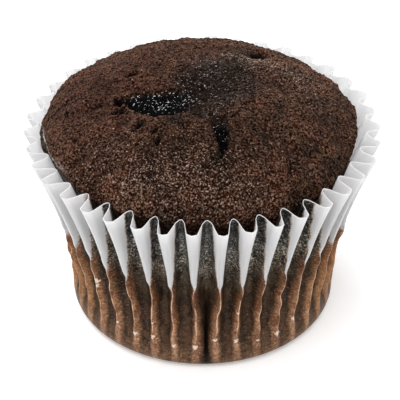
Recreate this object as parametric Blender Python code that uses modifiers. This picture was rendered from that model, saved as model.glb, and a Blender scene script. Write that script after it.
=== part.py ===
"""Unfrosted chocolate cupcake in its pleated greaseproof paper case.

Metres, +Z up. The origin is the centre of the paper base's underside, and -Y is the front.
The cake is one solid: its side fills the folds of the case low down and stands free of them
higher up. The case is one thin pleated wall with a flat base.
"""

import math

import bmesh
import bpy
from mathutils import Matrix

# Paper case: a round sheet, 127 mm across before pleating, formed over a 2 inch base.
PLEATS = 38
FIRST_CREST = 1 / 3         # the first crest stands this share of a pleat left of the front
CASE_HEIGHT = 0.0371
CASE_BASE_RADIUS = 0.0252
CASE_FLARE = 0.0082         # how much wider the crests are at the rim than at the base
PLEAT_DEPTH = 0.0042        # crest to valley, at the rim
DEPTH_POWER = 0.6           # how the depth grows with height
FOLD_PLACE = 0.10           # a crest's fold lines from its middle, as a share of the pleat spacing
FOLD_OPENING = 0.11         # how much further out they stand at the rim
FOLD_DROP = 0.14            # how far they lie inside the crest, as a share of the depth
FOOT_PLACE = 0.26           # the same two for the feet of a crest's side walls
FOOT_OPENING = 0.03
TIP_RISE = 0.0004           # valleys stand steeper than crests, so they end higher
TIP_POWER = 6               # how that rise is gathered near the rim
PLEAT_START = 0.0022        # height where the folds begin above the base edge
PLEAT_FULL = 0.0070         # height where the folds have their whole depth
BASE_EDGE_RADIUS = 0.0022
PAPER_THICKNESS = 0.0003    # stands in for paper of about 0.1 mm
PLEAT_CROWDING = 0.05       # pleats sit this share closer at front and back than at the sides

# Cake
CLEARANCE = 0.0003          # cake to paper, at the underside
SIDE_CLEARANCE = 0.00036    # cake to paper, at the valleys
RIDGE_SHORTFALL = 0.0011    # how far the cake's ridges end inside the paper crests
RIDGE_FOOT = 0.17           # half width of such a ridge, as a share of the pleat spacing
RIDGES_SINK = 0.0140        # height where the cake starts to leave the folds
RIDGES_END = 0.0250         # height where it stands free of them
NECK_HEIGHT = 0.0378        # top of the side, just under the crust
CRUST_RADIUS = 0.0294
CRUST_HEIGHT = 0.0385
CRUST_TILT = 0.0003         # the crust edge stands this much higher on the left
CRUST_EDGE = 0.0003         # rise of the rounded crust edge
DOME_RISE = 0.0100
DOME_POWER = 2.3
DOME_SHIFT = -0.0005        # the dome leans to the left
FRONT_LEFT = (-64, -44)     # degrees from the front over which the crust starts to round down
FRONT_RIGHT = (92, 62)
FRONT_LET_DOWN = 0.0026     # how far the crust's edge rounds down behind the paper at the front
FRONT_DRAWN_IN = 0.0018     # and in
DRAWN_IN_POWER = 1 / 3      # it draws in before it comes down, to clear the paper's tips
LET_DOWN_START = 0.88       # shares of the crust's radius where it starts to come down
DRAWN_IN_START = 0.78       # and in

# Sunken middle of the dome, and the breaks in the crust
HOLLOW_CENTRE = (-0.0055, -0.0060)
HOLLOW_LENGTH = 0.0085
HOLLOW_WIDTH = 0.0042
HOLLOW_TURN = math.radians(-20)
HOLLOW_DEPTH = 0.0024
SPLIT_START = (0.0018, -0.0095)
SPLIT_END = (0.0036, -0.0188)
SPLIT_WIDTH = 0.0013
SPLIT_DEPTH = 0.0022
SPLIT_STEPS = 6
SPLIT_END_WIDTH = 0.06      # shares of a half wave cut off at its ends: the width's and the depth's
SPLIT_END_DEPTH = 0.10
PIT_CENTRE = (0.0113, 0.0140)
PIT_TURN = math.radians(60)
PIT_HALF_SIZES = (0.0026, 0.0016, 0.0020)
PIT_SEGMENTS = 8
PIT_RINGS = 6

CASE_LEVELS = (0.0070, 0.0125, 0.0210, 0.0295, CASE_HEIGHT)
FOLDED_LEVELS = (0.0070, 0.0125, 0.0185, RIDGES_END)
FREE_LEVELS = (0.0310, NECK_HEIGHT)
DOME_RINGS = (0.93, 0.80, 0.64, 0.48, 0.32, 0.16)
EDGE_STEPS = 2              # facets across the rounded base edge
ROUND_POINTS = PLEATS * 3 // 2      # half as many as in a folded ring of the cake

# Plain colours, linear, and roughness
GREASEPROOF_PAPER = ((0.74, 0.75, 0.75), 0.65)
CHOCOLATE_SPONGE = ((0.050, 0.026, 0.018), 0.85)


def smooth_step(value, low, high):
    share = min(max((value - low) / (high - low), 0.0), 1.0)
    return share * share * (3 - 2 * share)


def pleat_angle(number):
    """Angle of a pleat's crest from the front, or of a place between crests for a fraction."""
    even = 2 * math.pi * (number - FIRST_CREST) / PLEATS
    return even - PLEAT_CROWDING / 2 * math.sin(2 * even)


def place(angle, radius, height):
    return (radius * math.sin(angle), -radius * math.cos(angle), height)


def edge_inset(height):
    """How far the rounded base edge draws the wall in."""
    if height >= BASE_EDGE_RADIUS:
        return 0.0
    below = BASE_EDGE_RADIUS - height
    return BASE_EDGE_RADIUS - math.sqrt(BASE_EDGE_RADIUS**2 - below**2)


def crest_radius(height):
    share = height / CASE_HEIGHT
    return CASE_BASE_RADIUS + CASE_FLARE * share**2 - edge_inset(height)


def pleat_depth(height):
    share = height / CASE_HEIGHT
    return PLEAT_DEPTH * share**DEPTH_POWER * smooth_step(height, PLEAT_START, PLEAT_FULL)


def base_edge_heights():
    """Heights of the rings round the base edge, from the flat base up."""
    turn = math.pi / 2 / EDGE_STEPS
    return [BASE_EDGE_RADIUS * (1 - math.cos(step * turn)) for step in range(EDGE_STEPS + 1)]


def case_ring(height):
    """One ring of the pleated wall: each crest has a peak and two fold lines, each valley is flat."""
    share = height / CASE_HEIGHT
    depth = pleat_depth(height)
    crest = crest_radius(height)
    fold = FOLD_PLACE + FOLD_OPENING * share**2
    foot = FOOT_PLACE + FOOT_OPENING * share
    fold_radius = crest - FOLD_DROP * depth
    valley_radius = crest - depth
    tip_height = height + TIP_RISE * share**TIP_POWER
    ring = []
    for pleat in range(PLEATS):
        ring += [
            place(pleat_angle(pleat), crest, height),
            place(pleat_angle(pleat + fold), fold_radius, height),
            place(pleat_angle(pleat + foot), valley_radius, tip_height),
            place(pleat_angle(pleat + 1 - foot), valley_radius, tip_height),
            place(pleat_angle(pleat + 1 - fold), fold_radius, height),
        ]
    return ring


def free_wall(height):
    """Radius of the cake's side where it only touches the valleys of the case."""
    inside = min(height, CASE_HEIGHT)
    return crest_radius(inside) - pleat_depth(inside) - PAPER_THICKNESS - SIDE_CLEARANCE


def folded_cake_ring(height, outer_height):
    """A ring of the cake where it fills the folds: a ridge in each crest, chords between them.

    outer_height is where the case is measured: lower than the ring itself at the base edge.
    """
    wall = free_wall(outer_height)
    ridge = max(crest_radius(outer_height) - RIDGE_SHORTFALL, wall)
    ridge += (wall - ridge) * smooth_step(height, RIDGES_SINK, RIDGES_END)
    ring = []
    for pleat in range(PLEATS):
        ring += [
            place(pleat_angle(pleat), ridge, height),
            place(pleat_angle(pleat + RIDGE_FOOT), wall, height),
            place(pleat_angle(pleat + 1 - RIDGE_FOOT), wall, height),
        ]
    return ring


def front_share(angle):
    """1 round the front, where the crust rounds down behind the paper, and 0 from the sides back."""
    degrees = math.degrees(math.remainder(angle, 2 * math.pi))
    return smooth_step(degrees, *FRONT_LEFT) * smooth_step(degrees, *FRONT_RIGHT)


def round_cake_ring(height):
    """A round ring of the side where it is free of the folds, lower under the crust at the front."""
    risen = (height - RIDGES_END) / (NECK_HEIGHT - RIDGES_END)
    ring = []
    for step in range(ROUND_POINTS):
        angle = pleat_angle(step * 2 / 3)
        lowered = height - FRONT_LET_DOWN * risen * front_share(angle)
        ring.append(place(angle, free_wall(lowered), lowered))
    return ring


def dome_height(x, y):
    """Height of the dome over a point, with the sunken middle and the rounded front."""
    share = min(math.hypot(x, y) / CRUST_RADIUS, 1.0)
    height = CRUST_HEIGHT + DOME_RISE * (1 - share**DOME_POWER) - CRUST_TILT * x / CRUST_RADIUS
    near_edge = max(share - LET_DOWN_START, 0.0) / (1 - LET_DOWN_START)
    height -= FRONT_LET_DOWN * near_edge**2 * front_share(math.atan2(x, -y))
    away_x, away_y = x - HOLLOW_CENTRE[0], y - HOLLOW_CENTRE[1]
    along = away_x * math.cos(HOLLOW_TURN) + away_y * math.sin(HOLLOW_TURN)
    across = away_y * math.cos(HOLLOW_TURN) - away_x * math.sin(HOLLOW_TURN)
    reach = (along / HOLLOW_LENGTH) ** 2 + (across / HOLLOW_WIDTH) ** 2
    return height - HOLLOW_DEPTH * math.exp(-reach)


def crust_ring(share, drop=0.0):
    """A ring of the crust at a share of its radius, this far below the dome."""
    ring = []
    for step in range(ROUND_POINTS):
        angle = pleat_angle(step * 2 / 3)
        x, y, _ = place(angle, CRUST_RADIUS * share, 0.0)
        drawn_in = FRONT_DRAWN_IN * front_share(angle) ** DRAWN_IN_POWER
        drawn_in *= smooth_step(share, DRAWN_IN_START, 1.0)
        kept = 1 - drawn_in / (CRUST_RADIUS * share)
        ring.append((x * kept + DOME_SHIFT, y * kept, dome_height(x, y) - drop))
    return ring


def material(name, colour, roughness):
    made = bpy.data.materials.new(name)
    made.use_nodes = True
    shader = made.node_tree.nodes["Principled BSDF"]
    shader.inputs["Base Color"].default_value = (*colour, 1.0)
    shader.inputs["Roughness"].default_value = roughness
    shader.inputs["Metallic"].default_value = 0.0
    return made


def add_ring(mesh, points):
    return [mesh.verts.new(point) for point in points]


def join_rings(mesh, lower, upper):
    """Faces between two rings: quads where they match, threes where the upper has half the points."""
    count = len(lower)
    for step in range(count):
        after = (step + 1) % count
        if len(upper) == count:
            mesh.faces.new((lower[step], lower[after], upper[after], upper[step]))
        elif step % 2 == 0:
            mesh.faces.new((lower[step], lower[after], upper[step // 2]))
        else:
            here, beyond = upper[step // 2], upper[(step // 2 + 1) % len(upper)]
            mesh.faces.new((lower[step], beyond, here))
            mesh.faces.new((lower[step], lower[after], beyond))


def object_from(mesh, name, collection, look=None):
    bmesh.ops.recalc_face_normals(mesh, faces=mesh.faces)
    data = bpy.data.meshes.new(name)
    mesh.to_mesh(data)
    mesh.free()
    made = bpy.data.objects.new(name, data)
    collection.objects.link(made)
    if look:
        data.materials.append(look)
    return made


def make_case(collection):
    """The outer face of the case, thickened inwards."""
    mesh = bmesh.new()
    rings = [add_ring(mesh, case_ring(height)) for height in (*base_edge_heights(), *CASE_LEVELS)]
    mesh.faces.new(rings[0][::-1])
    for lower, upper in zip(rings, rings[1:]):
        join_rings(mesh, lower, upper)
    paper = material("greaseproof_paper", *GREASEPROOF_PAPER)
    case = object_from(mesh, "paper_case", collection, paper)
    wall = case.modifiers.new("paper", "SOLIDIFY")
    wall.thickness = PAPER_THICKNESS
    wall.offset = -1.0
    return case


def make_cake(collection):
    """The cake's body, from its flat underside through the folded side to the dome."""
    mesh = bmesh.new()
    lift = PAPER_THICKNESS + CLEARANCE
    rings = []
    for height in base_edge_heights():
        raised = height + lift * (1 - height / BASE_EDGE_RADIUS)
        rings.append(add_ring(mesh, folded_cake_ring(raised, height)))
    for height in FOLDED_LEVELS:
        rings.append(add_ring(mesh, folded_cake_ring(height, height)))
    for height in FREE_LEVELS:
        rings.append(add_ring(mesh, round_cake_ring(height)))
    rings.append(add_ring(mesh, crust_ring(1.0, CRUST_EDGE)))
    for share in DOME_RINGS:
        rings.append(add_ring(mesh, crust_ring(share)))
    mesh.faces.new(rings[0][::-1])
    for lower, upper in zip(rings, rings[1:]):
        join_rings(mesh, lower, upper)
    top = mesh.verts.new((DOME_SHIFT, 0.0, dome_height(0.0, 0.0)))
    last = rings[-1]
    for step, corner in enumerate(last):
        mesh.faces.new((corner, last[(step + 1) % len(last)], top))
    crumb = material("chocolate_sponge", *CHOCOLATE_SPONGE)
    return object_from(mesh, "cake", collection, crumb)


def split_cutter(collection):
    """A thin wedge, pointed at both ends and along its foot, where the crust has parted."""
    start_x, start_y = SPLIT_START
    end_x, end_y = SPLIT_END
    length = math.hypot(end_x - start_x, end_y - start_y)
    along = ((end_x - start_x) / length, (end_y - start_y) / length)
    side = (-along[1], along[0])
    mesh = bmesh.new()
    rows = []
    for step in range(SPLIT_STEPS + 1):
        share = step / SPLIT_STEPS
        width_share = SPLIT_END_WIDTH + (1 - 2 * SPLIT_END_WIDTH) * share
        depth_share = SPLIT_END_DEPTH + (1 - 2 * SPLIT_END_DEPTH) * share
        half = SPLIT_WIDTH / 2 * math.sin(math.pi * width_share)
        x = start_x + along[0] * length * share
        y = start_y + along[1] * length * share
        top = dome_height(x, y) + SPLIT_WIDTH
        foot = dome_height(x, y) - SPLIT_DEPTH * math.sin(math.pi * depth_share)
        rows.append(add_ring(mesh, [
            (x - side[0] * half, y - side[1] * half, top),
            (x + side[0] * half, y + side[1] * half, top),
            (x, y, foot),
        ]))
    for lower, upper in zip(rows, rows[1:]):
        join_rings(mesh, lower, upper)
    mesh.faces.new(rows[0])
    mesh.faces.new(rows[-1])
    return object_from(mesh, "split", collection)


def pit_cutter(collection):
    """A small egg-shaped pit where a bubble broke through the crust."""
    mesh = bmesh.new()
    bmesh.ops.create_uvsphere(mesh, u_segments=PIT_SEGMENTS, v_segments=PIT_RINGS, radius=1.0)
    spot = Matrix.Translation((*PIT_CENTRE, dome_height(*PIT_CENTRE)))
    turn = Matrix.Rotation(PIT_TURN, 4, "Z")
    bmesh.ops.transform(mesh, matrix=spot @ turn @ Matrix.Diagonal((*PIT_HALF_SIZES, 1.0)),
                        verts=mesh.verts)
    return object_from(mesh, "pit", collection)


def cut(target, cutter):
    cutter.hide_render = True
    cutter.display_type = "WIRE"
    opening = target.modifiers.new(cutter.name, "BOOLEAN")
    opening.operation = "DIFFERENCE"
    opening.object = cutter


def main():
    for old in list(bpy.data.objects):
        bpy.data.objects.remove(old, do_unlink=True)
    cupcake = bpy.data.collections.new("cupcake")
    cutters = bpy.data.collections.new("cutters")
    bpy.context.scene.collection.children.link(cupcake)
    bpy.context.scene.collection.children.link(cutters)
    make_case(cupcake)
    cake = make_cake(cupcake)
    cut(cake, split_cutter(cutters))
    cut(cake, pit_cutter(cutters))


main()
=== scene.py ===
"""Unfrosted chocolate cupcake in its pleated greaseproof paper case, on a white board.

Metres, +Z up, with the paper base's underside on the floor and -Y to the front. Lengths below are
given in millimetres and turned to metres by MM. Angles run round the cake from the front, towards
the right.
"""

import math
import random

import bpy
import numpy as np
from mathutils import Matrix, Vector, noise


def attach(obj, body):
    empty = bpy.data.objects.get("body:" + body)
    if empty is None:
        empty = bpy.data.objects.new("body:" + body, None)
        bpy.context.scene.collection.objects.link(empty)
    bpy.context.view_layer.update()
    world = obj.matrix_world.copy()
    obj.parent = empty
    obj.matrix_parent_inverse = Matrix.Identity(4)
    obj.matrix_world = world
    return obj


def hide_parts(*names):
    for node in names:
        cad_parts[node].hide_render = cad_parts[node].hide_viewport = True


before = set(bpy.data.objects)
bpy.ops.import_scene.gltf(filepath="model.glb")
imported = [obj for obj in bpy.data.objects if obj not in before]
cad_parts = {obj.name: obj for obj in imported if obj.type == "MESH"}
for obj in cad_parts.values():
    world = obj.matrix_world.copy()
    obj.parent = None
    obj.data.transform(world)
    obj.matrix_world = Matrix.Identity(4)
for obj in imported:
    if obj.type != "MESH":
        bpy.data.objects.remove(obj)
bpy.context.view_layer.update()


# ------------------------------------------------------------------------------------------------
# Camera. A long lens, a little over a third of the way up from the table to overhead, square to
# the front of the cake.
MM = 0.001
CAMERA_AIM = Vector((-0.51, 0.0, 20.74)) * MM
CAMERA_RISE = math.radians(36.09)
CAMERA_DISTANCE = 400 * MM
LENS_MM = 188.4
SENSOR_MM = 36.0

lens = bpy.data.cameras.new("camera")
lens.lens = LENS_MM
lens.sensor_width = SENSOR_MM
lens.clip_start = 10 * MM
lens.clip_end = 10.0
camera = bpy.data.objects.new("camera", lens)
bpy.context.scene.collection.objects.link(camera)
camera.location = CAMERA_AIM + CAMERA_DISTANCE * Vector(
    (0.0, -math.cos(CAMERA_RISE), math.sin(CAMERA_RISE)))
camera.rotation_euler = (math.pi / 2 - CAMERA_RISE, 0.0, 0.0)
bpy.context.scene.camera = camera
bpy.context.scene.view_settings.view_transform = "Standard"


# ------------------------------------------------------------------------------------------------
# Floor and light. A sheet of opal acrylic under the case, lit a little from below so that the
# shadows stay pale, in a room of white walls. One big soft box is high at the front, and a smaller
# one behind the left catches the far side of the crust.
FLOOR_SIZE = 1600 * MM
FLOOR_CELLS = 24
FLOOR_WAVE = 0.05 * MM              # how far the board is from flat
WAVES_A_METRE = 9
BOARD_WHITE = "#FFFFFF"
BOARD_GLOW = 0.24                   # light from below, as a share of the room's white
ROOM_WHITE = "#FFFFFF"
ROOM_STRENGTH = 0.88
SOFT_BOXES = (
    # name, place, place aimed at and size in mm, watts
    ("high_front", (-90, -190, 600), (0, 0, 20), 480, 1.6),
    ("back_left", (-280, 300, 400), (0, 0, 25), 380, 1.4),
)


def linear(code):
    """An sRGB hex colour as the linear numbers that shaders work in."""
    parts = [int(code[start:start + 2], 16) / 255 for start in (1, 3, 5)]
    straight = [part / 12.92 if part <= 0.04045 else ((part + 0.055) / 1.055) ** 2.4
                for part in parts]
    return (*straight, 1.0)


def fill(tree, made, inputs):
    """Gives a node its inputs: numbers, colours or sockets to link, by name or by place."""
    in_use = {socket.name: socket for socket in made.inputs if socket.enabled}
    for name, value in inputs.items():
        socket = made.inputs[name] if isinstance(name, int) else in_use[name]
        if isinstance(value, bpy.types.NodeSocket):
            tree.links.new(value, socket)
        else:
            socket.default_value = value


def node(tree, kind, inputs=None, stops=(), out=None, **settings):
    """Adds a shader node and gives back its first output in use, or the one named by out.

    The kind is Blender's name less "ShaderNode", and stops are a ramp's: place and hex colour.
    """
    made = tree.nodes.new("ShaderNode" + kind)
    for name, value in settings.items():
        setattr(made, name, value)
    fill(tree, made, inputs or {})
    if stops:
        ramp = made.color_ramp
        while len(ramp.elements) < len(stops):
            ramp.elements.new(1.0)
        for element, (place, colour) in zip(ramp.elements, stops):
            element.position = place
            element.color = linear(colour)
    return made.outputs[out] if out else next(socket for socket in made.outputs if socket.enabled)


def new_material(name):
    """A named material with an empty tree but for its shader, and that shader."""
    made = bpy.data.materials.new(name)
    made.use_nodes = True
    return made, made.node_tree, made.node_tree.nodes["Principled BSDF"]


def mesh_object(name, points, faces):
    """An object at the origin from an array of points and lists of faces."""
    data = bpy.data.meshes.new(name)
    data.from_pydata([tuple(point) for point in points], [], faces)
    data.polygons.foreach_set("use_smooth", [True] * len(data.polygons))
    data.update()
    made = bpy.data.objects.new(name, data)
    bpy.context.scene.collection.objects.link(made)
    return made


def opal_acrylic():
    """Opal acrylic, sanded matt, with a faint unevenness that only shows in a low light."""
    made, tree, shader = new_material("opal_acrylic_sanded")
    place = node(tree, "TexCoord", out="Object")
    tooth = node(tree, "TexNoise", {"Vector": place, "Scale": 1 / (8 * MM), "Detail": 3.0})
    bump = node(tree, "Bump", {"Height": tooth, "Strength": 0.05, "Distance": 0.1 * MM})
    fill(tree, shader, {
        "Base Color": linear(BOARD_WHITE), "Roughness": 0.9, "Specular IOR Level": 0.2,
        "Emission Color": linear(BOARD_WHITE), "Emission Strength": BOARD_GLOW, "Normal": bump})
    return made


def make_floor():
    steps = [FLOOR_SIZE * (step / FLOOR_CELLS - 0.5) for step in range(FLOOR_CELLS + 1)]
    points = []
    for y in steps:
        for x in steps:
            wave = noise.noise((x * WAVES_A_METRE, y * WAVES_A_METRE, 0)) - 1
            points.append((x, y, FLOOR_WAVE * wave))
    row = FLOOR_CELLS + 1
    faces = [(a, a + 1, a + 1 + row, a + row)
             for y in range(FLOOR_CELLS) for a in range(y * row, y * row + FLOOR_CELLS)]
    made = mesh_object("white_board", points, faces)
    made.data.materials.append(opal_acrylic())
    return made


floor = make_floor()

room = bpy.data.worlds.new("studio")
bpy.context.scene.world = room
room.use_nodes = True
sky = room.node_tree.nodes["Background"]
sky.inputs["Color"].default_value = linear(ROOM_WHITE)
sky.inputs["Strength"].default_value = ROOM_STRENGTH

for name, place, aim, size, watts in SOFT_BOXES:
    panel = bpy.data.lights.new(name, "AREA")
    panel.size = size * MM
    panel.energy = watts
    box = bpy.data.objects.new(name, panel)
    bpy.context.scene.collection.objects.link(box)
    box.location = Vector(place) * MM
    facing = (Vector(aim) - Vector(place)).to_track_quat("-Z", "Y")
    box.rotation_euler = facing.to_euler()


# ------------------------------------------------------------------------------------------------
# Paper case. One round sheet of bleached greaseproof paper, about 0.1 mm thick, pressed into 38
# pleats over a two inch base. Baking has soaked it with fat wherever the cake touches it, and only
# the standing folds between the cake and the rim are still white.
PLEATS = 38
CASE_HEIGHT = 37.1 * MM
CASE_BASE_RADIUS = 25.2 * MM
CASE_FLARE = 8.2 * MM               # how much wider the crests are at the rim than at the base
PLEAT_DEPTH = 4.2 * MM              # crest to valley, at the rim
PLEAT_START = 2.2 * MM              # height where the folds begin above the base edge
PLEAT_FULL = 7.0 * MM               # height where the folds have their whole depth
BASE_EDGE_RADIUS = 2.2 * MM
PAPER = 0.1 * MM
FIRST_PLEAT = 1 / 3                 # how far left of the front the first crest is, in pleats
PLEAT_CROWDING = 0.05               # share by which pleats sit closer at front and back
TONGUE_RISE = 0.45 * MM             # the inner folds stand steeper, so they end higher
PINCH_HEIGHT = 20.5 * MM            # the cake fills the folds up to here; above they stand open
CREST_WIDTH = 2.2 * MM              # the flat outer face of a fold at the rim
COLUMNS = 20                        # mesh columns in one pleat
FOLD_COLUMN = 3                     # columns from a crest's middle to its fold line
FOOT_COLUMN = 7                     # and to the foot of its side wall
FLANK_COLUMN = 0.9                  # and to the middle of its browned strip, at the case's sides
FOLD_DROP = 0.13                    # how far the fold line lies in from the crest
FOOT_DROP = 0.80                    # and the foot: both as shares of the fold's depth
FOOT_PLACE = 0.27                   # the foot's way round from the crest, as a share of the pleat
RIPPLE = 2.6 * MM                   # height of the ripples in a filled fold
SWAY = 14 * MM                      # and of the slow sway of every fold
WALL_RINGS = 58
BASE_RINGS = 3
RIM_EDGE = 0.2 * MM                 # the cut edge at the rim, painted white as a bright line: a painted highlight
LEFT_ROOM = 0.4 * MM                # how much further out the inner folds stand at the left
BULGE = 1.3 * MM                    # and again at the far left, where the cake holds them out
FAR_ROOM = 1.8 * MM                 # how much shallower the far side's folds are at the rim
PINCHED_VALLEY = 0                  # the pleat whose valley is pressed nearly shut, low down
PINCHED_DEPTH = 1.3 * MM


def smooth_step(value, low, high):
    """0 at low to 1 at high with a smooth curve between, and level beyond both."""
    share = np.clip((value - low) / (high - low), 0.0, 1.0)
    return share * share * (3 - 2 * share)


def between(value, start, full, last, end):
    """0 before start and after end, 1 from full to last, with smooth curves between."""
    return smooth_step(value, start, full) * smooth_step(value, end, last)


def bell(away, reach):
    """1 in the middle, falling off on both sides."""
    return np.exp(-(away / reach) ** 2)


def pleat_angle(number):
    """Angle of a pleat's crest from the front, or of a place between crests for a fraction."""
    even = 2 * math.pi * (number - FIRST_PLEAT) / PLEATS
    return even - PLEAT_CROWDING / 2 * np.sin(2 * even)


def crest_radius(height):
    share = height / CASE_HEIGHT
    below = np.clip(BASE_EDGE_RADIUS - height, 0.0, BASE_EDGE_RADIUS)
    inset = BASE_EDGE_RADIUS - np.sqrt(BASE_EDGE_RADIUS**2 - below**2)
    return CASE_BASE_RADIUS + CASE_FLARE * share**2 - inset


def pleat_depth(height):
    share = height / CASE_HEIGHT
    return PLEAT_DEPTH * share**0.6 * smooth_step(height, PLEAT_START, PLEAT_FULL)


def valley_pinch(height):
    """How much deeper the pinched valley is than the others: most from 5 to 12 mm up."""
    return PINCHED_DEPTH * between(height, 0.4 * MM, 5 * MM, 12 * MM, 24 * MM)


def from_front(degrees):
    """A bearing from the front as -180 to 180 degrees, less than nought at the left."""
    return (np.asarray(degrees) + 180) % 360 - 180


def left_share(degrees):
    """1 at the left, a little to the front, where the cake keeps clear of the paper, else 0."""
    return between(from_front(degrees), -125, -98, -54, -36)


def bulge_share(degrees):
    """1 at the far left, where the side of the cake bulges, else 0."""
    return between(from_front(degrees), -104, -90, -83, -74)


def valley_room(degrees):
    """How much further out the valleys stand at the rim."""
    return LEFT_ROOM * left_share(degrees) + BULGE * bulge_share(degrees)


def far_room(degrees):
    """How much the folds have opened out at the rim, from the sides on round the far side."""
    return FAR_ROOM * smooth_step(abs(from_front(degrees)), 64, 98)


def wander(pleat, height, size, seed):
    """A smooth value from -1 to 1 for a pleat, which changes over a height of size.

    The odd factors keep pleats and seeds apart.
    """
    return 1.6 * noise.noise((pleat * 7.31 + seed, height / size, seed * 0.37))


chance = random.Random(38)
fold_left = [chance.uniform(-1, 1) for _ in range(PLEATS)]
fold_right = [chance.uniform(-1, 1) for _ in range(PLEATS)]
crest_lean = [chance.uniform(-1, 1) for _ in range(PLEATS)]
crest_out = [chance.uniform(-1, 1) for _ in range(PLEATS)]


def pleat_section(pleat, height):
    """One pleat at a height, from its crest to the next: lists of pleat number and of radius."""
    after = (pleat + 1) % PLEATS
    share = height / CASE_HEIGHT
    crest = float(crest_radius(height))
    degrees = math.degrees(pleat_angle(pleat + 0.5))
    room = max(float(valley_room(degrees)) * share**2, float(far_room(degrees)) * share**4)
    depth = float(pleat_depth(height)) - room
    pitch = 2 * math.pi * crest / PLEATS
    opened = max(0.0, (height - PINCH_HEIGHT) / (CASE_HEIGHT - PINCH_HEIGHT))
    # Half the width of the outer face: a crease where the cake has filled the fold, blunt just
    # above that, and wider on up to the rim.
    creased, blunt = 0.16 * MM, 0.20 * MM
    widening = (CREST_WIDTH / 2 - creased - blunt) * opened
    half_face = (creased + blunt * float(smooth_step(opened, 0.0, 0.07)) + widening) / pitch
    pinched = 1 - float(smooth_step(height, PINCH_HEIGHT, PINCH_HEIGHT + 4 * MM))
    rippled = pinched * float(smooth_step(height, PLEAT_START, PLEAT_FULL))

    def crest_at(number):
        """Where a crest really stands: its shift round the case and out from it, at this height."""
        shift = 0.030 * crest_lean[number] * share
        shift += rippled * 0.075 * wander(number, height, RIPPLE, 1.7)
        shift += 0.04 * wander(number, height, SWAY, 5.1)
        out = 0.25 * MM * crest_out[number] * share**2
        out += rippled * 0.30 * MM * wander(number, height, RIPPLE, 9.3)
        return shift, out

    numbers, radii = [], []
    half = COLUMNS // 2
    for side, number in ((1, pleat), (-1, after)):
        shift, out = crest_at(number)
        vary = (fold_right if side > 0 else fold_left)[number]
        face = half_face * (1 + 0.22 * vary * opened)
        foot = FOOT_PLACE + 0.07 * opened + 0.012 * vary
        peak = crest + out
        fold_radius = peak - (FOLD_DROP + 0.05 * vary) * depth * (0.35 + 0.65 * opened)
        foot_radius = crest - FOOT_DROP * depth
        valley = crest - depth
        if pleat == PINCHED_VALLEY:
            pinch = float(valley_pinch(height))
            foot += 0.13 * pinch / PINCHED_DEPTH
            foot_radius -= 0.2 * pinch
            valley -= pinch
        run = []
        for column in range(half + (side > 0)):
            if column <= FOLD_COLUMN:
                part = column / FOLD_COLUMN
                place = face * part
                radius = peak + (fold_radius - peak) * part**1.3
            elif column <= FOOT_COLUMN:
                part = (column - FOLD_COLUMN) / (FOOT_COLUMN - FOLD_COLUMN)
                place = face + (foot - face) * part
                radius = fold_radius + (foot_radius - fold_radius) * part
                radius += 0.05 * depth * math.sin(math.pi * part) * opened * vary
            else:
                part = (column - FOOT_COLUMN) / (half - FOOT_COLUMN)
                place = foot + (0.5 - foot) * part
                radius = foot_radius + (valley - foot_radius) * math.sin(math.pi / 2 * part)
            sway = shift * (1 - place / 0.5)
            run.append((number + side * place + sway, radius))
        if side < 0:
            # the second half runs back from the next crest, which is the first again at the end
            turn = PLEATS if after == 0 else 0
            run = [(place + turn, radius) for place, radius in reversed(run[1:])]
        numbers += [place for place, _ in run]
        radii += [radius for _, radius in run]
    return numbers, radii


def crest_share(column):
    """0 at a crest to 1 at a valley, for mesh columns counted from the first crest."""
    half = COLUMNS // 2
    return np.abs((column + half) % COLUMNS - half) / half


def outward(angle):
    """The way out from the middle on the plan at each angle."""
    return np.stack([np.sin(angle), -np.cos(angle)], axis=1)


def case_wall_points():
    """The outer face of the wall: an array of rings, columns and x, y, z."""
    from_crest = crest_share(np.arange(PLEATS * COLUMNS))
    # the rings lie a little closer low down, and the last two are the cut edge
    share = np.linspace(0.0, 1.0, WALL_RINGS - 1)
    levels = [*(CASE_HEIGHT - RIM_EDGE) * (0.35 * share**2 + 0.65 * share), CASE_HEIGHT]
    rings = []
    for height in levels:
        numbers, radii = [], []
        for pleat in range(PLEATS):
            these, those = pleat_section(pleat, height)
            numbers += these
            radii += those
        angles = pleat_angle(np.array(numbers))
        plan = outward(angles) * np.array(radii)[:, None]
        rise = TONGUE_RISE * (height / CASE_HEIGHT) ** 6 * (1 - left_share(np.degrees(angles)))
        heights = height + rise * smooth_step(from_crest, 0.35, 1.0)
        rings.append(np.column_stack([plan, heights]))
    return np.array(rings)


def grid_faces(first, rings, columns, flip=False):
    """Faces of a closed band of rings, whose points start at first."""
    faces = []
    for ring in range(rings - 1):
        low = first + ring * columns
        high = low + columns
        for column in range(columns):
            after = (column + 1) % columns
            face = (low + column, low + after, high + after, high + column)
            faces.append(face[::-1] if flip else face)
    return faces


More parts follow.
